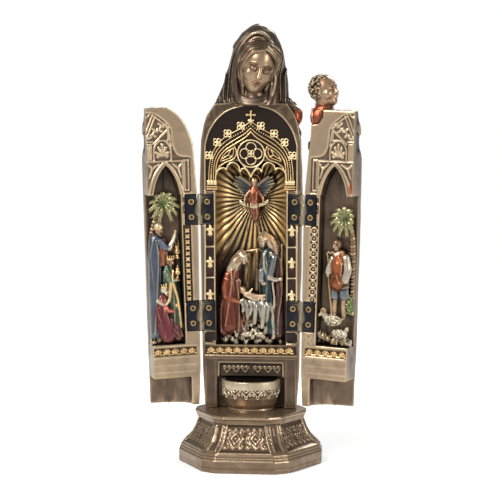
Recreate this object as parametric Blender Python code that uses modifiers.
"""Opening shrine statue: a cast figure of a veiled woman on a six-sided base.
Its front opens on four small hinges as two wings. The fixed back holds a carved Nativity niche
and a small font, and each wing holds a carved niche of its own."""

import math

import bmesh
import bpy
from mathutils import Matrix, Vector

MM = 0.001

# Base: six wide faces joined by narrow corner faces
SLAB_FACE = 36.6 * MM
SLAB_CORNER = 9.6 * MM
SLAB_H = 7.3 * MM
SEAT_FACE = 27.0 * MM
SEAT_CORNER = 8.5 * MM
PLINTH_H = 32.8 * MM

# Figure: the upright plane where the wings shut, and the mantle behind it
TOTAL_H = 270.0 * MM
SEAT_GAP = 0.3 * MM
PANEL_Y = -2.0 * MM
PANEL_TOP = 221.5 * MM
FACE_CLEAR = 0.4 * MM
BACK_DEPTH = 25.0 * MM
BACK_FOLD = 1.3 * MM
SHOULDER_RISE = 27.0 * MM
SHOULDER_RINGS = 7

# Hinges
HINGE_X = 31.4 * MM
HINGE_LEVEL = 123.5 * MM
HINGE_LEAN = math.radians(0.83)
HINGE_HEIGHTS = (90.5 * MM, 156.5 * MM)
LEAF_LENGTH = 18.2 * MM
LEAF_REACH = 8.6 * MM
LEAF_T = 0.7 * MM
LEAF_SET = 0.15 * MM
KNUCKLE_R = 1.15 * MM
KNUCKLE_MID = 7.0 * MM
KNUCKLE_GAP = 0.25 * MM
PIN_R = 0.5 * MM
PIN_CLEAR = 0.15 * MM
PIN_HEAD_R = 0.95 * MM
PIN_HEAD_T = 0.5 * MM
NOTCH_CLEAR = 0.35 * MM
FIT_GAP = 0.3 * MM
SCREW_OFFSET = 4.9 * MM
SCREW_SPREAD = 4.7 * MM
SCREW_HEAD_R = 1.8 * MM
SCREW_HEAD_T = 0.4 * MM
SCREW_SHANK_R = 0.75 * MM
SCREW_LENGTH = 3.6 * MM
SCREW_CLEAR = 0.12 * MM

# Fixed niche, its panels and the font
NICHE_HALF = 22.0 * MM
NICHE_DEPTH = 15.0 * MM
NICHE_FLOOR = 72.6 * MM
NICHE_SPRING = 172.0 * MM
NICHE_CROWN = 187.0 * MM
ARCH_APEX = 208.8 * MM
ROSE_AT = 190.5 * MM
ROSE_R = 8.2 * MM
BAY_HALF = 20.7 * MM
BAY_DEPTH = 3.4 * MM
BAY_TOP = 52.8 * MM
TABLET_TOP = 60.8 * MM
TABLET_DEPTH = 1.3 * MM
FRIEZE_LOW = 66.2 * MM
FRIEZE_HIGH = 71.4 * MM
FRIEZE_DEPTH = 0.8 * MM
FONT_R = 18.0 * MM
FONT_REACH = 14.2 * MM
FONT_RIM = 51.0 * MM
FONT_WALL = 2.0 * MM
FONT_FLOOR = 39.5 * MM
LACE_HALF = 0.75 * MM

# Wings, modelled shut and then swung open
WING_FOOT = 34.9 * MM
WING_TOP = 219.6 * MM
WING_DEPTH = 20.5 * MM
MEETING_GAP = 0.3 * MM
OPEN_LEFT = math.radians(160.0)
OPEN_RIGHT = math.radians(162.0)
STILE = 10.6 * MM
WING_NICHE_DEPTH = 13.0 * MM
WING_NICHE_FLOOR = 73.4 * MM
WING_NICHE_SPRING = 166.0 * MM
WING_ARCH_APEX = 185.0 * MM
WING_ARCH_FAR = 5.4 * MM
WING_ARCH_DEPTH = 9.0 * MM
HOLLOW_TOP = 52.4 * MM
HOLLOW_HALF = 24.0 * MM
HOLLOW_CLEAR = 1.6 * MM

# Share of the triangles kept once the joins' needless edges are collapsed
KEPT_EDGES = 0.42

# Relief: bars stand this proud of a panel
BAR_H = 0.9 * MM
BAR_W = 1.3 * MM
BAR_ROOT = 0.6 * MM

# Hollow sides of the base, as (share of the height, spread), and their raised lozenges
COVE = ((0.0, 0.93), (0.07, 0.93), (0.09, 0.84), (0.15, 0.84), (0.2, 0.72), (0.3, 0.45), (0.4, 0.22),
        (0.55, 0.02), (0.7, -0.12), (0.8, -0.2), (0.83, -0.1), (0.88, -0.08), (0.91, 0.0), (1.0, 0.0))
PANEL_SHARES = (0.24, 0.78)
PANEL_INSET = 3.2 * MM
SCROLL_W = 1.1 * MM
SCROLL_H = 0.7 * MM

# Insets of the outlines from the hinge line and shares of the depth, by height in millimetres
BACK_INSET = ((33, 1.5), (60, 0.4), (167, 0.4), (196, 1.4), (209, 3.4), (218, 7.2), (221.5, 10.5))
LEFT_INSET = ((34, 1.6), (60, 0.4), (150, 0.4), (184, 1.5), (196.5, 3.0), (209, 7.2), (215, 11.5),
              (219.6, 17.5))
RIGHT_INSET = ((34, 1.6), (60, 0.4), (150, 0.4), (184, 1.6), (197, 3.8), (209, 4.6), (214, 4.2), (219.6, 9.5))
BACK_SHARE = ((33, 1.06), (60, 1.0), (120, 0.96), (170, 0.92), (200, 0.82), (221.5, 0.64))
FRONT_SHARE = ((34, 0.95), (66, 0.98), (140, 1.0), (180, 0.88), (200, 0.7), (219.6, 0.5))
FOLDS = 5.0

# Veil rings: height, left, right, front and back, in millimetres
VEIL = ((217, -25.3, 24.6, 0, 16), (222, -23.0, 22.8, -1, 17.5), (234, -17.6, 22.2, -5, 18.5),
        (247, -13.8, 20.5, -9, 18), (258, -10.2, 17.6, -11.5, 15.5), (264.5, -5.8, 14.8, -10, 11.5),
        (268.3, -1.0, 10.6, -6, 7), (270, 2.6, 7.0, -2, 3))
VEIL_SIDES = 16
VEIL_FOOT = 221.5

# Sunk field over the niche, side bands and the font's bulge as (share of the rise, share of the width)
FIELD_DEPTH = 1.0 * MM
FIELD_HALF = 26.6 * MM
FIELD_LOW = 168.0 * MM
FIELD_SPRING = 182.0 * MM
FIELD_TOP = 219.6 * MM
PANEL_BAND = (23.6 * MM, 28.4 * MM)
BAND_LEVELS = (100.6 * MM, 116.2 * MM, 131.6 * MM, 146.6 * MM)
BAND_BAR = 0.8 * MM
FONT_BELLY = ((0.0, 0.78), (0.18, 0.9), (0.39, 0.96), (0.67, 1.0), (1.0, 1.0))

# A wing's sunk field and chain, in millimetres from the hinge, and the cuts that trim its mating planes
TRIM = 0.5 * MM
WING_FIELD = ((30.4, 215.5), (24.5, 211.5), (18.6, 206.5), (16.2, 200.0), (15.6, 193.6), (13.2, 190.0),
              (5.4, 189.0), (5.4, 167.6), (10.4, 167.6), (10.4, 187.6), (28.6, 187.6), (28.6, 167.6),
              (30.4, 167.6))
CHAIN_BAND = (4.8 * MM, 9.4 * MM)
CHAIN_LEVELS = (98.8 * MM, 146.8 * MM)
CHAIN_LINKS = 10
SKIM = 0.05 * MM
LEDGE = 0.4 * MM


def smooth_step(low, high, value):
    t = min(1.0, max(0.0, (value - low) / (high - low)))
    return t * t * (3 - 2 * t)


def along(stops, place):
    """Reads a profile given as (place, size) stops, eased between the stops."""
    if place <= stops[0][0]:
        return stops[0][1]
    for (p0, s0), (p1, s1) in zip(stops, stops[1:]):
        if place <= p1:
            return s0 + (s1 - s0) * smooth_step(p0, p1, place)
    return stops[-1][1]


def levels(low, high, count):
    return [low + (high - low) * i / (count - 1) for i in range(count)]


def body_levels(foot, top, lower_count):
    """Heights of the rings of an upright body: even up to the shoulder, and closer round it."""
    shoulder = top - SHOULDER_RISE
    return levels(foot, shoulder, lower_count) + levels(shoulder, top, SHOULDER_RINGS)[1:]


# Object helpers
def new_object(name, mesh, collection):
    obj = bpy.data.objects.new(name, mesh)
    collection.objects.link(obj)
    return obj


def mesh_from(bm, name):
    bmesh.ops.recalc_face_normals(bm, faces=bm.faces)
    mesh = bpy.data.meshes.new(name)
    bm.to_mesh(mesh)
    bm.free()
    return mesh


def bake_modifiers(obj):
    bpy.context.view_layer.update()
    graph = bpy.context.evaluated_depsgraph_get()
    mesh = bpy.data.meshes.new_from_object(obj.evaluated_get(graph))
    obj.modifiers.clear()
    obj.data = mesh
    return obj


def boolean(target, tool, operation):
    """Cuts or joins a tool, then removes it; the exact solver fails on the carved forms."""
    step = target.modifiers.new("carve", "BOOLEAN")
    step.operation = operation
    step.solver = "MANIFOLD"
    step.object = tool
    bake_modifiers(target)
    bpy.data.objects.remove(tool)
    return target


def cut(target, tool):
    return boolean(target, tool, "DIFFERENCE")


def join(target, tool):
    return boolean(target, tool, "UNION")


def loft_into(bm, rings):
    """Adds a closed body through rings that have the same number of points, capped at both ends."""
    loops = [[bm.verts.new(p) for p in ring] for ring in rings]
    for lower, upper in zip(loops, loops[1:]):
        for i in range(len(lower)):
            j = (i + 1) % len(lower)
            bm.faces.new((lower[i], lower[j], upper[j], upper[i]))
    bm.faces.new(loops[0][::-1])
    bm.faces.new(loops[-1])


def loft(rings, name):
    bm = bmesh.new()
    loft_into(bm, rings)
    bmesh.ops.triangulate(bm, faces=bm.faces)
    return new_object(name, mesh_from(bm, name), TOOLS)


def box(low, high):
    bm = bmesh.new()
    bmesh.ops.create_cube(bm, size=1.0)
    low, high = Vector(low), Vector(high)
    size = high - low
    bmesh.ops.scale(bm, vec=size, verts=bm.verts)
    bmesh.ops.translate(bm, vec=(low + high) / 2, verts=bm.verts)
    return new_object("box", mesh_from(bm, "box"), TOOLS)


def cylinder_between(start, end, radius, sides):
    bm = bmesh.new()
    run = end - start
    bmesh.ops.create_cone(
        bm, cap_ends=True, segments=sides, radius1=radius, radius2=radius, depth=run.length
    )
    turn = run.to_track_quat("Z", "Y").to_matrix().to_4x4()
    bmesh.ops.transform(bm, matrix=Matrix.Translation((start + end) / 2) @ turn, verts=bm.verts)
    return new_object("rod", mesh_from(bm, "rod"), TOOLS)


def move(obj, matrix):
    obj.data.transform(matrix)
    if matrix.to_3x3().determinant() < 0:
        obj.data.flip_normals()
    return obj


def tidied(obj):
    """Collapses the needless edges that joining leaves across flat faces, which cost the least to lose."""
    thin = obj.modifiers.new("tidy", "DECIMATE")
    thin.ratio = KEPT_EDGES
    return bake_modifiers(obj)


# Frames: each carved face is described across, up and out towards someone looking at the open shrine
def body_frame():
    return Matrix(((1, 0, 0, 0), (0, 0, -1, PANEL_Y + FACE_CLEAR / 2), (0, 1, 0, 0), (0, 0, 0, 1)))


def wing_frame(side):
    """Across is measured from the hinge, to the viewer's right, as if the wing lay flat open."""
    return Matrix(
        ((-1, 0, 0, side * HINGE_X), (0, 0, 1, PANEL_Y - FACE_CLEAR / 2), (0, 1, 0, 0), (0, 0, 0, 1))
    )


# Clay: overlapping balls and tapered limbs that are remeshed into one carved form
class Clay:
    """Collects simple solids, with lengths in millimetres, in one carved face's own frame."""

    def __init__(self, place):
        self.bm = bmesh.new()
        self.place = place @ Matrix.Scale(MM, 4)

    def _add(self, verts, matrix):
        bmesh.ops.transform(self.bm, matrix=self.place @ matrix, verts=verts)

    def ball(self, at, radii, turn=0.0):
        """An ellipsoid; turn leans it sideways in the face's plane, in degrees."""
        radii = (radii,) * 3 if isinstance(radii, (int, float)) else radii
        made = bmesh.ops.create_uvsphere(self.bm, u_segments=12, v_segments=8, radius=1.0)
        lean = Matrix.Rotation(math.radians(turn), 4, "Z")
        self._add(made["verts"], Matrix.Translation(at) @ lean @ Matrix.Diagonal((*radii, 1.0)))

    def limb(self, start, end, r0, r1):
        """A tapered limb with round ends."""
        run = Vector(end) - Vector(start)
        made = bmesh.ops.create_cone(
            self.bm, cap_ends=True, segments=10, radius1=r0, radius2=r1, depth=run.length
        )
        turn = run.to_track_quat("Z", "Y").to_matrix().to_4x4()
        middle = (Vector(start) + Vector(end)) / 2
        self._add(made["verts"], Matrix.Translation(middle) @ turn)
        self.ball(start, r0)
        self.ball(end, r1)

    def path(self, points, radii):
        for p0, p1, r0, r1 in zip(points, points[1:], radii, radii[1:]):
            self.limb(p0, p1, r0, r1)

    def block(self, at, size, turn=0.0):
        made = bmesh.ops.create_cube(self.bm, size=1.0)
        lean = Matrix.Rotation(math.radians(turn), 4, "Z")
        self._add(made["verts"], Matrix.Translation(at) @ lean @ Matrix.Diagonal((*size, 1.0)))

    def fired(self, voxel, triangles):
        """The clay as one closed form with about the number of triangles asked for."""
        obj = new_object("clay", mesh_from(self.bm, "clay"), TOOLS)
        skin = obj.modifiers.new("skin", "REMESH")
        skin.mode = "VOXEL"
        skin.voxel_size = voxel * MM
        soften = obj.modifiers.new("soften", "SMOOTH")
        soften.factor = 0.5
        soften.iterations = 1
        bake_modifiers(obj)
        thin = obj.modifiers.new("thin", "DECIMATE")
        thin.ratio = min(1.0, triangles / (2.0 * len(obj.data.polygons)))
        return bake_modifiers(obj)


# Bars: raised mouldings that follow a line in a carved face's plane
class Bars:
    """Ridged bars and plates, each a closed body of its own, to be joined to a carved face one by one."""

    def __init__(self, place):
        self.place = place
        self.pieces = []

    def point(self, x, y, out):
        return self.place @ Vector((x, y, out))

    def add(self, line, width=BAR_W, height=BAR_H, root=BAR_ROOT):
        """A ridge along points (across, up), in metres."""
        sections = []
        for i, (x, y) in enumerate(line):
            back, ahead = line[max(i - 1, 0)], line[min(i + 1, len(line) - 1)]
            run = Vector((ahead[0] - back[0], ahead[1] - back[1])).normalized()
            wide = Vector((-run.y, run.x)) * width / 2
            sections.append(
                [
                    self.point(x - wide.x, y - wide.y, -root),
                    self.point(x + wide.x, y + wide.y, -root),
                    self.point(x + wide.x * 0.4, y + wide.y * 0.4, height),
                    self.point(x - wide.x * 0.4, y - wide.y * 0.4, height),
                ]
            )
        self.pieces.append(loft(sections, "bar"))

    def ring(self, centre, radius, sides, width=BAR_W, height=BAR_H):
        """A closed round moulding, as two half rings that overlap a little."""
        self.add(arc(centre, radius, -4, 184, sides // 2 + 1), width, height)
        self.add(arc(centre, radius, 176, 364, sides // 2 + 1), width, height * 0.98)

    def plate(self, outline, height=BAR_H, root=BAR_ROOT):
        """A flat raised plate with the outline given as (across, up) points."""
        rings = [[self.point(x, y, out) for x, y in outline] for out in (-root, height)]
        self.pieces.append(loft(rings, "plate"))

    def join_to(self, target):
        for piece in self.pieces:
            join(target, piece)
        self.pieces = []


def arc(centre, radius, start, end, count):
    """Points of an arc, with angles in degrees."""
    turns = [math.radians(start + (end - start) * i / (count - 1)) for i in range(count)]
    return [(centre[0] + radius * math.cos(t), centre[1] + radius * math.sin(t)) for t in turns]


def pointed_half(half, spring, apex, count):
    """One side of a pointed arch, from its spring at -half up to its apex in the middle."""
    rise = apex - spring
    radius = (half * half + rise * rise) / (2 * half)
    centre = (radius - half, spring)
    top = math.degrees(math.atan2(rise, -centre[0]))
    return arc(centre, radius, 180.0, top, count)


def mirrored(line, about=0.0):
    return [(2 * about - x, y) for x, y in reversed(line)]


# Base
def plinth_ring(z, spread):
    """One level of the base; spread is 0 at the seat and 1 at the slab."""
    face = SEAT_FACE + (SLAB_FACE - SEAT_FACE) * spread
    corner = SEAT_CORNER + (SLAB_CORNER - SEAT_CORNER) * spread
    reach = face * math.cos(math.radians(30)) + corner
    ring = []
    for i in range(6):
        spin = Matrix.Rotation(math.radians(60 * i), 3, "Z")
        ring.append(spin @ Vector((-face / 2, -reach, z)))
        ring.append(spin @ Vector((face / 2, -reach, z)))
    return ring


def cove_spread(share):
    """How far the hollow side of the base spreads, by its share of the height from slab to seat."""
    return along(COVE, share)


def cove_point(face, across, share, out):
    """A point on one wide face of the base: across, up by share, and out from its surface."""
    z = SLAB_H + (PLINTH_H - SLAB_H) * share
    spread = cove_spread(share)
    wide = SEAT_FACE + (SLAB_FACE - SEAT_FACE) * spread
    corner = SEAT_CORNER + (SLAB_CORNER - SEAT_CORNER) * spread
    reach = wide * math.cos(math.radians(30)) + corner + out
    return Matrix.Rotation(math.radians(60 * face), 3, "Z") @ Vector((across, -reach, z))


def cove_bar(face, line, width=SCROLL_W, height=SCROLL_H):
    """A raised ridge on a wide face; the line is given as (across, share) points."""
    tall = PLINTH_H - SLAB_H
    sections = []
    for i, (x, share) in enumerate(line):
        back, ahead = line[max(i - 1, 0)], line[min(i + 1, len(line) - 1)]
        run = Vector((ahead[0] - back[0], (ahead[1] - back[1]) * tall)).normalized()
        wide = Vector((-run.y, run.x / tall)) * width / 2
        sections.append(
            [
                cove_point(face, x - wide.x, share - wide.y, -BAR_ROOT),
                cove_point(face, x + wide.x, share + wide.y, -BAR_ROOT),
                cove_point(face, x, share, height),
            ]
        )
    return loft(sections, "scroll")


def make_plinth():
    rings = [plinth_ring(0.0, 1.0), plinth_ring(SLAB_H, 1.0)]
    for share, spread in COVE:
        rings.append(plinth_ring(SLAB_H + (PLINTH_H - SLAB_H) * share, spread))
    rings[2] = plinth_ring(SLAB_H + 0.6 * MM, COVE[0][1])
    plinth = loft(rings, "plinth")
    low, high = PANEL_SHARES
    middle = (low + high) / 2
    for face in range(6):
        edge = SEAT_FACE / 2 - PANEL_INSET
        for side in (-1, 1):
            spot = side * edge / 2
            half = edge / 2.6
            lift = (high - low) / 2.6
            upper = [(spot - half, middle), (spot, middle + lift), (spot + half, middle)]
            lower = [(spot + half, middle), (spot, middle - lift), (spot - half, middle)]
            join(plinth, cove_bar(face, upper))
            join(plinth, cove_bar(face, lower))
    return tidied(plinth)


# Outlines shared by the fixed back and the wings
def hinge_x(z):
    return HINGE_X + (z - HINGE_LEVEL) * math.tan(HINGE_LEAN)


def read_mm(stops, z):
    return along(stops, z / MM) * MM


def fold(turn, z, strength):
    """Upright drapery folds that wander a little with height and fade where the sides meet the panel."""
    wander = 0.5 * math.sin(z / (34 * MM)) + 0.3 * math.sin(z / (13 * MM))
    return strength * math.sin(turn) * math.sin(2 * FOLDS * turn + wander * 2)


def back_ring(z, low_edge, high_edge, depth, front, sides):
    ring = []
    for i in range(sides + 1):
        turn = math.pi * i / sides
        middle, half = (high_edge + low_edge) / 2, (high_edge - low_edge) / 2
        reach = depth * math.sin(turn) ** 0.8 + fold(turn, z, BACK_FOLD)
        ring.append(Vector((middle - half * math.cos(turn), front + max(reach, 0), z)))
    return ring


def head_frame():
    """Drawn millimetres of the head, stretched to stand between the panel's top and the full height."""
    stretch = (TOTAL_H - PANEL_TOP) / ((VEIL[-1][0] - VEIL_FOOT) * MM)
    lift = Matrix.Translation((0, 0, PANEL_TOP / MM - VEIL_FOOT * stretch))
    return lift @ Matrix.Diagonal((1, 1, stretch, 1))


def in_metres(place):
    """The same placing for lengths in metres."""
    return Matrix.Scale(MM, 4) @ place @ Matrix.Scale(1 / MM, 4)


def veil():
    rings = []
    for z, left, right, front, back in VEIL:
        middle, deep = (left + right) / 2, (front + back) / 2
        ring = []
        for i in range(VEIL_SIDES):
            turn = 2 * math.pi * i / VEIL_SIDES
            x = middle + (right - left) / 2 * math.sin(turn)
            y = deep - (back - front) / 2 * math.cos(turn)
            ring.append(head_frame() @ Vector((x, y, z)) * MM)
        rings.append(ring)
    shell = loft(rings, "veil")
    opening = Clay(in_metres(head_frame()))
    opening.ball((4.2, -13, 243), (12.2, 15, 20.5))
    return cut(shell, new_object("opening", mesh_from(opening.bm, "opening"), TOOLS))


def head():
    """The veiled woman's head, bent down to one side, with her hair, neck and collar."""
    clay = Clay(in_metres(head_frame()))
    clay.ball((6.2, -1.5, 250.5), (10.4, 12, 13.5))
    clay.ball((4.6, -5.6, 242.5), (8.6, 8.8, 10.5))
    clay.ball((2.9, -9.6, 234.6), (4.0, 4.0, 3.4))
    clay.ball((4.3, -14.0, 241.6), (1.5, 1.8, 3.2))
    clay.limb((4.5, 0, 238), (2, 2, 222), 6.4, 8.5)
    clay.ball((0, 3.5, 222.5), (19, 9.5, 7))
    for x, lean, sway in ((-5.6, 5, -1.0), (-8.4, 5, 1.0), (11.4, 1, 0.6), (9.4, 1, -0.8)):
        upper = [(x + lean, -9.5, 256), (x + sway, -7.5, 247)]
        lower = [(x - sway, -5.5, 236), (x + sway, -5.5, 224.5)]
        clay.path(upper + lower, (2.2, 2.6, 2.5, 2.1))
    clay.path([(-3.5, -10, 253), (3, -13.2, 259), (9, -13, 262)], (2.2, 2.4, 2.0))
    clay.path([(14.6, -9, 250), (13.6, -11, 256.5), (9, -12.4, 261)], (2.0, 2.2, 2.0))
    return clay.fired(0.8, 700)


def shoulder_child():
    """The part of the child's gown, and of the hand that holds it, that stays on the fixed back."""
    clay = Clay(Matrix.Identity(4))
    clay.ball((27.0, 4.0, 213.0), (4.6, 5.0, 5.8))
    clay.path([(19, 5, 223), (24, 3.5, 220.5), (29.5, 3.0, 217.0)], (2.6, 2.2, 1.6))
    clay.path([(19, 8, 223), (25, 7.5, 221), (30.5, 7.0, 216.0)], (2.6, 2.2, 1.6))
    clay.ball((27.5, 4.5, 203.5), (3.6, 4.0, 4.5))
    return clay.fired(0.7, 170)


def twin_arch(half, spring, crown, low):
    """The niche's opening: two cusped arches side by side over upright jambs."""
    left = arc((-half / 2, spring), half / 2, 180, 0, 8)
    lift = (crown - spring) / (half / 2)
    left = [(x, spring + (y - spring) * lift) for x, y in left]
    pendant = (0.0, spring + (crown - spring) * 0.38)
    left = [p for p in left if p[0] < -0.8 * MM]
    return [(-half, low)] + left + [pendant] + mirrored(left) + [(half, low)]


def niche_tool():
    outline = twin_arch(NICHE_HALF, NICHE_SPRING, NICHE_CROWN, NICHE_FLOOR)
    rings = []
    for share in (-0.1, 0.0, 0.45, 0.75, 0.92, 1.0):
        shrink = math.sqrt(1 - (max(share, 0.0) * 0.985) ** 2)
        ring = []
        for x, up in outline:
            high = NICHE_SPRING + (up - NICHE_SPRING) * shrink if up > NICHE_SPRING else up
            ring.append(body_frame() @ Vector((x * shrink, high, -NICHE_DEPTH * share)))
        rings.append(ring)
    return loft(rings, "niche")


def plate_tool(place, outline, depth):
    """A cutter that sinks a shape into a carved face."""
    rings = [[place @ Vector((x, y, out)) for x, y in outline] for out in (-depth, 1.0 * MM)]
    return loft(rings, "sink")


def rectangle(low_x, low_y, high_x, high_y):
    return [(low_x, low_y), (high_x, low_y), (high_x, high_y), (low_x, high_y)]


def field_outline(count=13):
    rise = (FIELD_TOP - FIELD_SPRING) / FIELD_HALF
    crown = [(x, FIELD_SPRING + y * rise) for x, y in arc((0, 0), FIELD_HALF, 0, 180, count)]
    return [(-FIELD_HALF, FIELD_LOW), (FIELD_HALF, FIELD_LOW)] + crown


def sunk(place, depth):
    return place @ Matrix.Translation((0, 0, -depth))


def tracery():
    """The gilded tracery over the fixed niche, with its arch, rose, crockets, cross and capitals."""
    bars = Bars(sunk(body_frame(), FIELD_DEPTH))
    spring = 174.4 * MM
    for half, apex, width in ((24.2 * MM, ARCH_APEX, 1.5 * MM), (21.6 * MM, 201.5 * MM, 1.1 * MM)):
        side = pointed_half(half, spring, apex, 6)
        bars.add(side + mirrored(side)[1:], width)
    bars.ring((0, ROSE_AT), ROSE_R, 12)
    lobe = ROSE_R * 0.44
    for turn in range(4):
        out = math.radians(90 * turn)
        centre = (lobe * math.cos(out), ROSE_AT + lobe * math.sin(out))
        bars.add(arc(centre, lobe * 0.82, 90 * turn - 125, 90 * turn + 125, 5), 0.9 * MM, BAR_H * 0.9)
    bars.plate(arc((0, ROSE_AT), 1.7 * MM, 0, 270, 4))
    opening = twin_arch(NICHE_HALF - 0.5 * MM, NICHE_SPRING, NICHE_CROWN + 0.9 * MM, NICHE_SPRING)[1:-1]
    bars.add(opening, 1.2 * MM)
    for x, z in ((6.1, 207.0), (14.3, 202.6), (20.4, 197.0), (24.6, 189.0)):
        for side in (-1, 1):
            bars.plate(arc((side * x * MM, z * MM + 1.2 * MM), 1.9 * MM, 0, 270, 4), BAR_H * 0.85)
    cross = rectangle(-0.9 * MM, ARCH_APEX - 0.5 * MM, 0.9 * MM, 218.6 * MM)
    bars.plate(cross)
    bars.plate(rectangle(-3.6 * MM, 215.4 * MM, 3.6 * MM, 217.0 * MM), BAR_H - 0.05 * MM)
    bars.plate(rectangle(-2.2 * MM, 211.0 * MM, 2.2 * MM, 212.6 * MM), BAR_H - 0.05 * MM)
    for side in (-1, 1):
        inner, outer = 20.9 * MM, 26.5 * MM
        low, high = sorted((side * inner, side * outer))
        bars.plate(rectangle(low, FIELD_LOW - 0.4 * MM, high, spring - 0.4 * MM), BAR_H, 1.2 * MM)
    return bars


def nativity():
    """The figures in the fixed niche, in millimetres across, up and out from the panel."""
    clay = Clay(body_frame())
    clay.ball((-4.9, 125.2, -6.6), (3.4, 4.2, 3.6))
    clay.path([(-5.5, 127, -8), (-9.5, 122, -8), (-13.5, 115, -7.5)], (4.2, 4.4, 4.6))
    clay.path([(-10, 113, -8.5), (-11.5, 103, -8.5), (-13, 90, -7.5)], (6.2, 6.4, 6.0))
    clay.path([(-15.6, 113.5, -5), (-16, 103.5, -4), (-7.5, 98.5, -3.2)], (2.4, 2.3, 1.6))
    clay.limb((-13, 90, -6.8), (-12, 80, -7.0), 5.4, 5.8)
    clay.ball((-5, 105.2, -5), (2.4, 2.2, 2.4))
    clay.limb((-3, 103.5, -5.5), (9, 100, -5.5), 2.4, 2.0)
    clay.limb((7.5, 108, -6.5), (9.5, 98, -5), 2.2, 1.6)
    clay.block((3.5, 96.5, -6.5), (15.5, 8.5, 8.0), -6)
    clay.block((6.5, 88.5, -6.5), (10, 10, 7.0), 4)
    clay.ball((6.9, 136.4, -6.8), (3.2, 4.0, 3.4))
    clay.path([(7.5, 139, -8), (12.5, 133, -8.5), (15.5, 125, -8.5)], (3.6, 3.8, 3.6))
    clay.path([(8.5, 126, -8.5), (8, 112, -8), (9.5, 104, -8)], (5.0, 4.6, 4.0))
    clay.path([(14, 126, -8), (15, 108, -7.5), (15.5, 88, -7.0)], (4.2, 5.0, 4.6))
    clay.path([(14.5, 124, -5), (11, 115, -4), (15.5, 113, -3.6)], (2.2, 2.0, 1.6))
    clay.limb((18.8, 133, -5.5), (18.8, 80, -5.5), 0.9, 0.9)
    clay.limb((3.2, 128, -9.5), (3.2, 108, -9.5), 1.4, 1.4)
    clay.ball((1.3, 173.2, -7.5), (1.7, 2.0, 2.0))
    clay.limb((1.3, 169, -9), (1.3, 163, -8.5), 3.0, 3.2)
    clay.limb((1.5, 160, -9), (1.8, 148, -10), 3.2, 1.4)
    clay.path([(-6.5, 160.5, -8), (1.3, 158.8, -6.5), (9.2, 160.8, -8)], (1.0, 1.1, 1.0))
    for side in (-1, 1):
        clay.ball((1.3 + side * 6.5, 171.5, -9.5), (6.6, 2.8, 3.0), side * 32)
    for turn in range(12):
        angle = math.radians(15 + 30 * turn)
        out = -9.5 if turn in (0, 5, 6, 11) else -12.5
        end = (1.3 + 16.5 * math.cos(angle), 162 + 22 * math.sin(angle), out)
        clay.limb((1.3, 162, -14.2), end, 2.2, 1.1)
    for i in range(9):
        x = -18 + 4.5 * i
        clay.ball((x, 75.5 + 2.5 * math.sin(i * 2.3), -5.5), (3.4, 5.0 + 2 * math.cos(i * 1.7), 4.2))
    return clay.fired(0.55, 950)


def make_font(place):
    """The font's bowl and the tool that hollows it."""
    foot = PLINTH_H + SEAT_GAP
    rings = []
    for rise, share in FONT_BELLY:
        z = foot + (FONT_RIM - foot) * rise
        points = [(-FONT_R * share, 1.5 * MM - BAY_DEPTH - 2 * MM)]
        points += [
            (-FONT_R * share * math.cos(t), FONT_REACH * share * math.sin(t) - 2 * MM * (1 - math.sin(t)))
            for t in [math.pi * i / 14 for i in range(15)]
        ]
        points.append((FONT_R * share, 1.5 * MM - BAY_DEPTH - 2 * MM))
        rings.append([place @ Vector((x, z, out)) for x, out in points])
    bowl = loft(rings, "font")
    hollow = []
    for z, share in ((FONT_FLOOR, 0.62), (42 * MM, 0.9), (FONT_RIM + 1 * MM, 1.0)):
        half, reach = (FONT_R - FONT_WALL) * share, (FONT_REACH - FONT_WALL) * share
        turns = [math.pi * i / 12 for i in range(13)]
        points = [(-half * math.cos(t), reach * math.sin(t) - 1.6 * MM) for t in turns]
        hollow.append([place @ Vector((x, z, out)) for x, out in points])
    return bowl, loft(hollow, "hollow")


def font_lace(back):
    """A band of pierced work under the font's rim, as raised loops on the bowl."""
    for i in range(5):
        turn = math.pi * (i + 0.5) / 5
        for side in (-1, 1):
            start, end = turn - side * 0.03, turn + side * (math.pi / 10 + 0.04)
            line = [(start, 41.2), (turn + side * 0.1, 45.0 + 0.1 * side), (end, 48.0)]
            sections = []
            for t, z in line:
                normal = Vector((-FONT_R * math.cos(t), FONT_REACH * math.sin(t)))
                out = normal.normalized() * 0.7 * MM
                x, y = normal
                root = normal.normalized() * -0.6 * MM
                sections.append(
                    [
                        body_frame() @ Vector((x + root.x, z * MM - LACE_HALF, y + root.y)),
                        body_frame() @ Vector((x + root.x, z * MM + LACE_HALF, y + root.y)),
                        body_frame() @ Vector((x + out.x, z * MM + LACE_HALF / 2, y + out.y)),
                        body_frame() @ Vector((x + out.x, z * MM - LACE_HALF / 2, y + out.y)),
                    ]
                )
            join(back, loft(sections, "lace"))


def fleur(bars, x, z, tall):
    """A small lily: a tall middle leaf, two side leaves and a band."""
    w = tall / 2
    leaf = [(x, z + w), (x + w * 0.32, z + w * 0.3), (x, z - w * 0.3), (x - w * 0.32, z + w * 0.3)]
    bars.plate(leaf, FRIEZE_DEPTH * 0.9)
    bars.plate([(x - w * 0.6, z), (x, z - w), (x + w * 0.6, z), (x, z - w * 0.2)], FRIEZE_DEPTH * 0.75)


def frieze_motifs(bars, low_x, high_x, count):
    pitch = (high_x - low_x) / count
    base, top = FRIEZE_LOW + 0.5 * MM, FRIEZE_HIGH - 0.7 * MM
    for i in range(count):
        x = low_x + pitch * (i + 0.5)
        half = pitch * 0.42
        outline = [(x - half, base), (x + half, base), (x + half * 0.35, (base + top) / 2), (x, top),
                   (x - half * 0.35, (base + top) / 2)]
        bars.plate(outline, FRIEZE_DEPTH * 0.8)


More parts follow.
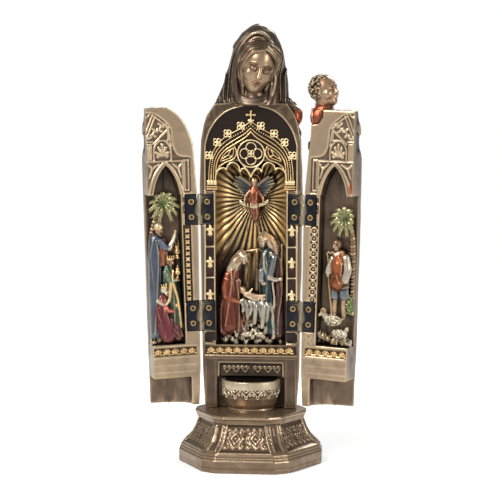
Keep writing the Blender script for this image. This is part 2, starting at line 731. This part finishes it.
def make_back():
    """The fixed back: mantle, head, niche, tracery and font in one casting."""
    place = body_frame()
    rings = []
    for z in body_levels(PLINTH_H + SEAT_GAP, PANEL_TOP, 9):
        edge = hinge_x(z) - read_mm(BACK_INSET, z)
        depth = BACK_DEPTH * along(BACK_SHARE, z / MM)
        rings.append(back_ring(z, -edge, edge, depth, PANEL_Y + FACE_CLEAR / 2, 20))
    back = loft(rings, "statue")
    join(back, veil())
    join(back, head())
    join(back, shoulder_child())
    front = PANEL_Y + FACE_CLEAR / 2
    cut(back, box((-0.1, -0.1, 0), (0.1, front + SKIM, PANEL_TOP + LEDGE)))
    cut(back, plate_tool(place, field_outline(), FIELD_DEPTH))
    cut(back, niche_tool())
    bay = rectangle(-BAY_HALF, 0, BAY_HALF, BAY_TOP)
    cut(back, plate_tool(place, bay, BAY_DEPTH))
    bowl, hollow = make_font(place)
    join(back, bowl)
    cut(back, hollow)
    tablet_room = rectangle(-19.6 * MM, BAY_TOP + 0.8 * MM, 19.6 * MM, TABLET_TOP)
    cut(back, plate_tool(place, tablet_room, TABLET_DEPTH))
    frieze = rectangle(-27.6 * MM, FRIEZE_LOW, 27.6 * MM, FRIEZE_HIGH)
    cut(back, plate_tool(place, frieze, FRIEZE_DEPTH))
    for side in (-1, 1):
        for low, high in zip(BAND_LEVELS, BAND_LEVELS[1:]):
            inner, outer = sorted((side * PANEL_BAND[0], side * PANEL_BAND[1]))
            panel = rectangle(inner, low + BAND_BAR / 2, outer, high - BAND_BAR / 2)
            cut(back, plate_tool(place, panel, FRIEZE_DEPTH))
        inner, outer = sorted((side * 22.9 * MM, side * 28.6 * MM))
        cut(back, plate_tool(place, rectangle(inner, 74.2 * MM, outer, 79.6 * MM), 1.6 * MM))
    join(back, nativity())
    tracery().join_to(back)
    trim = Bars(sunk(place, FRIEZE_DEPTH))
    frieze_motifs(trim, -27.0 * MM, 27.0 * MM, 10)
    for side in (-1, 1):
        for low, high in zip(BAND_LEVELS, BAND_LEVELS[1:]):
            fleur(trim, side * sum(PANEL_BAND) / 2, (low + high) / 2, 7.6 * MM)
    tablet = Bars(sunk(place, TABLET_DEPTH))
    for i in range(6):
        x = (-15.5 + 6.2 * i) * MM
        tablet.add(arc((x, 57.2 * MM), 1.9 * MM, -40, 220, 4), 0.8 * MM, 0.8 * MM)
    trim.join_to(back)
    tablet.join_to(back)
    font_lace(back)
    return tidied(back)


# Wings
def wing_edges(side, z):
    inset = read_mm(RIGHT_INSET if side > 0 else LEFT_INSET, z)
    return hinge_x(z) - inset, WING_DEPTH * along(FRONT_SHARE, z / MM)


def quarter(side, z, half, depth, inner, sides, folds):
    """A quarter round in plan, from the meeting edge round the front to the hinge side."""
    face = PANEL_Y - FACE_CLEAR / 2 + TRIM
    ring = [Vector((side * inner, face, z))]
    for i in range(sides + 1):
        turn = math.pi / 2 * i / sides
        reach = TRIM + depth * math.cos(turn) ** 0.85 + fold(turn + math.pi / 2, z, folds)
        across = inner + (half - inner) * math.sin(turn)
        ring.append(Vector((side * across, face - max(reach, 0), z)))
    return ring


def wing_shell(side):
    rings = []
    for z in body_levels(WING_FOOT, WING_TOP, 8):
        half, depth = wing_edges(side, z)
        rings.append(quarter(side, z, half, depth, MEETING_GAP / 2 - TRIM, 8, BACK_FOLD))
    return loft(rings, "wing")


def front_figure(side):
    """What the shut wings carry outside: the child on one, and the woman's sleeve and hand on the other."""
    clay = Clay(Matrix.Identity(4))
    if side > 0:
        clay.ball((23.4, -11.6, 229.6), (9.3, 9.0, 9.3))
        clay.limb((23, -10.5, 222), (21.5, -10.5, 214), 5.0, 8.0)
        clay.ball((20.5, -11, 207), (9.0, 8.5, 11))
        clay.ball((26.3, -7.2, 213.2), (4.2, 4.4, 5.6))
        clay.path([(17, -14, 201), (9, -19, 194), (8, -21, 183)], (5.2, 4.4, 3.2))
        clay.path([(21, -15, 199), (16, -19.5, 190), (17, -21, 180)], (5.2, 4.2, 3.0))
        clay.path([(27, -8, 196), (20, -17, 188), (8, -21, 190)], (5.0, 5.0, 3.0))
    else:
        clay.path([(-24, -8, 202), (-22, -14, 186), (-8, -20.5, 180)], (6.0, 6.0, 4.0))
        clay.path([(-8, -20.5, 180), (-2.5, -22, 183)], (3.4, 2.2))
        clay.ball((-14, -8, 206), (9, 5, 12))
    return clay.fired(0.8, 360)


def niche_wall(side, z, inner, far):
    """The wing niche's quarter-round wall, from past the meeting edge to the stile."""
    face = PANEL_Y - FACE_CLEAR / 2
    ring = [Vector((side * inner, face + 1.0 * MM, z))]
    reach = far + 4.6 * MM
    for i in range(9):
        across = inner + (far - inner) * i / 8
        ring.append(
            Vector((side * across, face - WING_NICHE_DEPTH * math.sqrt(max(0, 1 - (across / reach) ** 2)), z))
        )
    ring.append(Vector((side * far, face + 1.0 * MM, z)))
    return ring


def wing_niche(side):
    far_low = HINGE_X - STILE
    rings = [niche_wall(side, z, -2 * MM, far_low) for z in (WING_NICHE_FLOOR, WING_NICHE_SPRING)]
    return loft(rings, "niche")


def wing_arch(side, place, depth):
    """The pointed head of a wing niche, in the wing's own frame."""
    low, high = WING_ARCH_FAR, HINGE_X - STILE - 0.02 * MM
    middle, half = HINGE_X - (low + high) / 2, (high - low) / 2
    spring = WING_NICHE_SPRING - 2 * MM
    side_line = pointed_half(half, spring, WING_ARCH_APEX, 8)
    outline = side_line + mirrored(side_line)[1:]
    outline = [(side * (x + middle), y) for x, y in outline]
    rings = []
    for out, shrink in ((1.0 * MM, 1.0), (-depth * 0.6, 0.97), (-depth, 0.7)):
        centre = Vector((side * middle, spring))
        shrunk = [centre + (Vector(point) - centre) * shrink for point in outline]
        rings.append([place @ Vector((point.x, point.y, out)) for point in shrunk])
    return loft(rings, "arch")


def font_room(side):
    face = PANEL_Y - FACE_CLEAR / 2
    rings = []
    for z in (0.0, HOLLOW_TOP):
        depth = FONT_REACH + HOLLOW_CLEAR
        ring = [Vector((-side * 2 * MM, face + 1.0 * MM, z))]
        for i in range(9):
            across = HOLLOW_HALF * math.sin(math.pi / 2 * i / 8)
            ring.append(Vector((side * across, face - depth * math.cos(math.pi / 2 * i / 8) ** 0.7, z)))
        ring[1].x = -side * 2 * MM
        ring.append(Vector((side * HOLLOW_HALF, face + 1.0 * MM, z)))
        rings.append(ring)
    return loft(rings, "room")


def wing_trim(side, place):
    """Raised mouldings in the wing's sunk fields, with across measured from the hinge."""
    bars = Bars(sunk(place, FRIEZE_DEPTH))
    mid = (HINGE_X - WING_ARCH_FAR + STILE) / 2

    def at(points):
        return [(side * x * MM, z * MM) for x, z in points]

    bars.add(at([(30.0, 214.0), (22.0, 206.5), (17.8, 199.5), (17.2, 193.0)]))
    bars.add(at([(28.0, 209.0), (22.0, 197.0), (28.4, 197.0)]), 0.9 * MM)
    bars.add(at([(17.4, 191.8), (29.6, 191.8)]))
    rise = [(x + mid / MM, z) for x, z in [(-5.5, 191.8), (-5.2, 196.5), (-3.0, 200.4), (0, 202.0)]]
    bars.add(at(rise + [(2 * mid / MM - x, z) for x, z in rise[-2::-1]]), 1.0 * MM)
    bars.plate(at(arc((mid / MM, 195.8), 2.4, 0, 270, 4)))
    bars.add(at([(7.0, 187.0), (7.0, 170.0)]), 1.0 * MM)
    low, high = CHAIN_LEVELS
    pitch = (high - low) / CHAIN_LINKS
    for i in range(CHAIN_LINKS):
        centre = (side * sum(CHAIN_BAND) / 2, low + pitch * (i + 0.5))
        bars.plate(arc(centre, pitch * 0.46, 0, 270, 4), FRIEZE_DEPTH * 0.8)
    return bars


def shepherd():
    """Figures of the right wing: palm, shepherd with a staff and hat, and his sheep."""
    clay = Clay(wing_frame(1))
    for i in range(9):
        turn = math.radians(-60 + 38 * i)
        tip = (25.0 + 7.0 * math.cos(turn), 152.5 + 8.0 * math.sin(turn) - 2, -5.5)
        bend = ((25.0 + tip[0]) / 2, (153 + tip[1]) / 2 + 2.0, -5.2)
        clay.path([(25.6, 152, -7.5), bend, tip], (1.6, 1.5, 0.9))
    clay.ball((25.2, 152.5, -8.8), (5.5, 6, 4.5))
    clay.path([(27.0, 150, -10.2), (29.4, 138, -11.2), (29.8, 96, -11.4)], (1.9, 1.9, 2.1))
    clay.ball((20.4, 135.6, -5.6), (3.0, 3.6, 3.2))
    clay.limb((20.8, 134, -6.5), (22.2, 126, -7), 2.4, 3.4)
    clay.ball((22.6, 122.5, -7.0), (5.4, 9.0, 4.8))
    clay.limb((27.0, 127, -6.5), (26.8, 113, -4.5), 2.3, 1.7)
    clay.limb((18.5, 126, -6.5), (16.4, 118.5, -5), 2.0, 1.5)
    clay.limb((20.6, 113, -7.5), (20.2, 103, -7), 3.2, 2.8)
    clay.limb((25.4, 113, -7.5), (26.2, 103, -7), 3.2, 2.8)
    clay.limb((20.2, 103, -7.5), (20.6, 91, -7.5), 1.9, 1.5)
    clay.limb((26.2, 103, -7.5), (26.0, 90, -7.5), 1.9, 1.5)
    clay.ball((26.2, 110.5, -4.0), (3.4, 3.8, 1.6))
    clay.limb((15.6, 126, -6.0), (19.0, 92, -6.0), 0.9, 0.9)
    clay.ball((28.8, 98.5, -9.0), (2.6, 5.5, 3.0))
    clay.ball((13.4, 94.0, -4.8), (3.0, 2.6, 2.8))
    clay.ball((19.0, 89.5, -5.8), (6.0, 3.4, 4.0))
    clay.ball((19.2, 85.4, -3.4), (2.0, 2.0, 2.0))
    clay.ball((24.6, 80.8, -4.0), (4.6, 2.8, 2.6))
    for x in (21.6, 27.4):
        clay.limb((x, 80, -4), (x, 74.2, -4), 1.1, 0.9)
    for i in range(7):
        clay.ball((10.8 + 3.2 * i, 77.5 + 3.0 * math.sin(i * 1.9), -6.8), (3.4, 5.0, 4.4))
    clay.block((21.5, 76.5, -8.6), (19.0, 7.0, 6.0))
    return clay.fired(0.5, 680)


def magi():
    """Figures of the left wing: palm and three kings with their gifts."""
    clay = Clay(wing_frame(-1))
    for i in range(9):
        turn = math.radians(-50 + 35 * i)
        tip = (-20.5 + 8.0 * math.cos(turn), 160.0 + 8.5 * math.sin(turn) - 3, -5.5)
        bend = ((-20.5 + tip[0]) / 2, (162 + tip[1]) / 2 + 2.4, -5.6)
        clay.path([(-20.5, 161, -8), bend, tip], (1.6, 1.4, 0.9))
    clay.ball((-20.5, 160, -9.4), (5.5, 5.5, 4.0))
    clay.path([(-21.5, 157, -10.5), (-28.0, 140, -11), (-28.6, 126, -11)], (1.7, 1.7, 1.7))
    clay.ball((-24.6, 144.6, -5.8), (2.9, 3.6, 3.2))
    clay.path([(-26.0, 136, -8), (-27.4, 115, -8), (-28.0, 80, -7.6)], (4.2, 4.2, 4.0))
    clay.path([(-24, 136, -6.5), (-18.0, 133, -5.5), (-13.8, 142, -6.0)], (3.2, 2.2, 1.4))
    clay.limb((-13.8, 142, -6.4), (-13.0, 133, -6.4), 1.0, 2.0)
    clay.ball((-13.0, 130.5, -6.2), (2.2, 3.2, 3.4))
    clay.ball((-18.2, 124.6, -5.4), (2.9, 4.0, 3.2))
    clay.path([(-19.0, 117, -7), (-16.6, 103, -7), (-14.2, 82, -6.5)], (5.2, 5.0, 4.6))
    clay.ball((-13.6, 117.0, -4.0), (1.9, 4.6, 2.0))
    clay.ball((-22.0, 107.4, -4.8), (2.8, 3.8, 3.0))
    clay.path([(-23.4, 100, -6.2), (-23.0, 88, -6.0), (-18.5, 79, -5.0)], (4.8, 5.4, 5.4))
    clay.limb((-22, 100, -4), (-17.0, 94.5, -3.4), 2.0, 1.5)
    clay.ball((-15.9, 96.0, -3.4), (1.5, 2.6, 1.6))
    for i in range(7):
        clay.ball((-11.5 - 2.9 * i, 75.5 + 1.6 * math.sin(i * 2.1), -6.4), (3.2, 3.2, 4.2))
    clay.block((-20.0, 75.5, -8.6), (19.0, 6.0, 6.0))
    return clay.fired(0.5, 680)


def make_wing(side):
    place = wing_frame(side)
    face = PANEL_Y - FACE_CLEAR / 2
    wing = wing_shell(side)
    join(wing, front_figure(side))
    cut(wing, wing_niche(side))
    cut(wing, wing_arch(side, place, WING_ARCH_DEPTH))
    cut(wing, font_room(side))
    join(wing, shepherd() if side > 0 else magi())
    cut(wing, box((-0.1, face, 0), (0.1, 0.1, 0.4)))
    edge = side * MEETING_GAP / 2
    cut(wing, box((min(edge, -side * 0.1), -0.1, 0), (max(edge, -side * 0.1), 0.1, 0.4)))
    outline = [(side * x * MM, z * MM) for x, z in WING_FIELD]
    cut(wing, plate_tool(place, outline, FRIEZE_DEPTH))
    chain = rectangle(side * CHAIN_BAND[0], CHAIN_LEVELS[0], side * CHAIN_BAND[1], CHAIN_LEVELS[1])
    cut(wing, plate_tool(place, chain, FRIEZE_DEPTH))
    frieze = rectangle(side * 4.6 * MM, FRIEZE_LOW, side * 28.8 * MM, FRIEZE_HIGH)
    cut(wing, plate_tool(place, frieze, FRIEZE_DEPTH))
    bars = wing_trim(side, place)
    frieze_motifs(bars, *sorted((side * 5.2 * MM, side * 28.4 * MM)), 5)
    bars.join_to(wing)
    return tidied(wing)


# Hinges, in a frame of their own: in from the axis, back from the shut plane, and up the axis
def hinge_frame(side, height):
    lean = side * HINGE_LEAN
    origin = Vector((side * hinge_x(height), PANEL_Y, height))
    axis = Vector((math.sin(lean), 0, math.cos(lean)))
    inward = Vector((-side * math.cos(HINGE_LEAN), 0, math.sin(HINGE_LEAN)))
    frame = Matrix((inward, Vector((0, 1, 0)), axis)).transposed().to_4x4()
    frame.translation = origin
    return frame


def knuckle_rod(half_length, radius, sides):
    return cylinder_between(Vector((0, 0, -half_length)), Vector((0, 0, half_length)), radius, sides)


def screw_spots():
    return [(SCREW_OFFSET, spread) for spread in (-SCREW_SPREAD, SCREW_SPREAD)]


def leaf_front(back):
    """Where a leaf's visible face lies; back is 1 for the fixed leaf and -1 for the wing's leaf."""
    return back * (FACE_CLEAR / 2 + LEAF_SET)


def make_leaf(back):
    front = leaf_front(back)
    rear = front + back * LEAF_T
    half = LEAF_LENGTH / 2
    leaf = box((0, min(front, rear), -half), (LEAF_REACH, max(front, rear), half))
    join(leaf, knuckle_rod(half, KNUCKLE_R, 8))
    reach = KNUCKLE_R + NOTCH_CLEAR
    middle = KNUCKLE_MID / 2
    spans = [(-middle - KNUCKLE_GAP, middle + KNUCKLE_GAP)] if back > 0 else [(-1, -middle), (middle, 1)]
    for low, high in spans:
        cut(leaf, box((-reach, -reach, low), (reach, reach, high)))
    cut(leaf, knuckle_rod(1, PIN_R + PIN_CLEAR, 6))
    for across, up in screw_spots():
        start, end = Vector((across, -1, up)), Vector((across, 1, up))
        cut(leaf, cylinder_between(start, end, SCREW_SHANK_R + SCREW_CLEAR, 6))
        seat = Vector((across, front + back * (SCREW_HEAD_T + SCREW_CLEAR), up))
        above = Vector((across, front - back * 1 * MM, up))
        cut(leaf, cylinder_between(above, seat, SCREW_HEAD_R + SCREW_CLEAR * 2, 8))
    return leaf


def make_screw(back, across, up):
    front = leaf_front(back)
    top = Vector((across, front + back * 0.02 * MM, up))
    under = Vector((across, front + back * SCREW_HEAD_T, up))
    tip = Vector((across, front + back * SCREW_LENGTH, up))
    screw = cylinder_between(top, under, SCREW_HEAD_R, 8)
    return join(screw, cylinder_between(under - (tip - under) * 0.05, tip, SCREW_SHANK_R, 6))


def make_pin():
    half = LEAF_LENGTH / 2 + 0.1 * MM
    pin = knuckle_rod(half + PIN_HEAD_T / 2, PIN_R, 6)
    for end in (-1, 1):
        low, high = sorted((end * half, end * (half + PIN_HEAD_T)))
        join(pin, cylinder_between(Vector((0, 0, low)), Vector((0, 0, high)), PIN_HEAD_R, 8))
    return pin


def hinge_rebate(target, frame, back):
    """Sinks the leaf, the knuckle and the screw holes of one hinge into the back or a wing."""
    depth = back * (FACE_CLEAR / 2 + LEAF_SET + LEAF_T + FIT_GAP / 2)
    above = -back * 2 * MM
    half = LEAF_LENGTH / 2 + FIT_GAP
    pocket = box((-4 * MM, min(depth, above), -half), (LEAF_REACH + FIT_GAP, max(depth, above), half))
    cut(target, move(pocket, frame))
    notch_half = LEAF_LENGTH / 2 + PIN_HEAD_T + FIT_GAP + 0.1 * MM
    cut(target, move(knuckle_rod(notch_half, KNUCKLE_R + NOTCH_CLEAR, 12), frame))
    for across, up in screw_spots():
        end = back * (FACE_CLEAR / 2 + LEAF_SET + SCREW_LENGTH + FIT_GAP)
        hole = cylinder_between(
            Vector((across, -back * 1 * MM, up)), Vector((across, end, up)), SCREW_SHANK_R + SCREW_CLEAR, 6
        )
        cut(target, move(hole, frame))


def material(name, colour, metallic, roughness):
    made = bpy.data.materials.new(name)
    made.use_nodes = True
    shader = made.node_tree.nodes["Principled BSDF"]
    shader.inputs["Base Color"].default_value = (*colour, 1.0)
    shader.inputs["Metallic"].default_value = metallic
    shader.inputs["Roughness"].default_value = roughness
    return made


def finish_part(obj, name, look, parent=None):
    obj.name = name
    obj.data.name = name
    obj.data.materials.clear()
    obj.data.materials.append(look)
    obj.data.shade_smooth()
    obj.data.set_sharp_from_angle(angle=math.radians(35))
    TOOLS.objects.unlink(obj)
    PARTS.objects.link(obj)
    if parent:
        obj.data.transform(Matrix.Translation(-parent.location))
        obj.parent = parent
    return obj


def swing_axis(side):
    """An empty on a wing's hinge line, turned to hold that wing open."""
    name = "right" if side > 0 else "left"
    pivot = bpy.data.objects.new(f"{name}_hinge_line", None)
    PARTS.objects.link(pivot)
    pivot.location = (side * HINGE_X, PANEL_Y, HINGE_LEVEL)
    pivot.rotation_mode = "AXIS_ANGLE"
    turn = OPEN_RIGHT if side > 0 else -OPEN_LEFT
    pivot.rotation_axis_angle = (turn, side * math.sin(HINGE_LEAN), 0, math.cos(HINGE_LEAN))
    return pivot


def make_shrine():
    bronze = material("cold_cast_bronze", (0.36, 0.26, 0.17), 0.6, 0.42)
    base_bronze = material("base_bronze", (0.38, 0.28, 0.19), 0.6, 0.4)
    wing_bronze = material("wing_bronze", (0.42, 0.32, 0.22), 0.5, 0.45)
    dark_steel = material("blued_steel", (0.03, 0.035, 0.06), 0.8, 0.35)
    brass = material("brass_screws", (0.45, 0.36, 0.18), 0.9, 0.35)
    pin_metal = material("pin_brass", (0.4, 0.36, 0.22), 0.9, 0.35)
    back = make_back()
    wings = {side: make_wing(side) for side in (-1, 1)}
    finish_part(make_plinth(), "plinth", base_bronze)
    pivots = {side: swing_axis(side) for side in (-1, 1)}
    for side in (-1, 1):
        hand = "right" if side > 0 else "left"
        for height, level in zip(HINGE_HEIGHTS, ("lower", "upper")):
            frame = hinge_frame(side, height)
            hinge_rebate(back, frame, 1)
            hinge_rebate(wings[side], frame, -1)
            label = f"{hand}_{level}_hinge"
            for part, sense, parent in (("fixed", 1, None), ("wing", -1, pivots[side])):
                finish_part(move(make_leaf(sense), frame), f"{label}_{part}_leaf", dark_steel, parent)
                for i, (across, up) in enumerate(screw_spots()):
                    screw = move(make_screw(sense, across, up), frame)
                    finish_part(screw, f"{label}_{part}_screw_{i + 1}", brass, parent)
            finish_part(move(make_pin(), frame), f"{label}_pin", pin_metal)
    finish_part(back, "statue_back", bronze)
    finish_part(wings[-1], "left_wing", wing_bronze, pivots[-1])
    finish_part(wings[1], "right_wing", wing_bronze, pivots[1])


for old in list(bpy.data.objects):
    bpy.data.objects.remove(old)
PARTS = bpy.data.collections.new("opening_shrine")
TOOLS = bpy.data.collections.new("cutters")
TOOLS.hide_render = True
for group in (PARTS, TOOLS):
    bpy.context.scene.collection.children.link(group)
make_shrine()
bpy.context.view_layer.update()
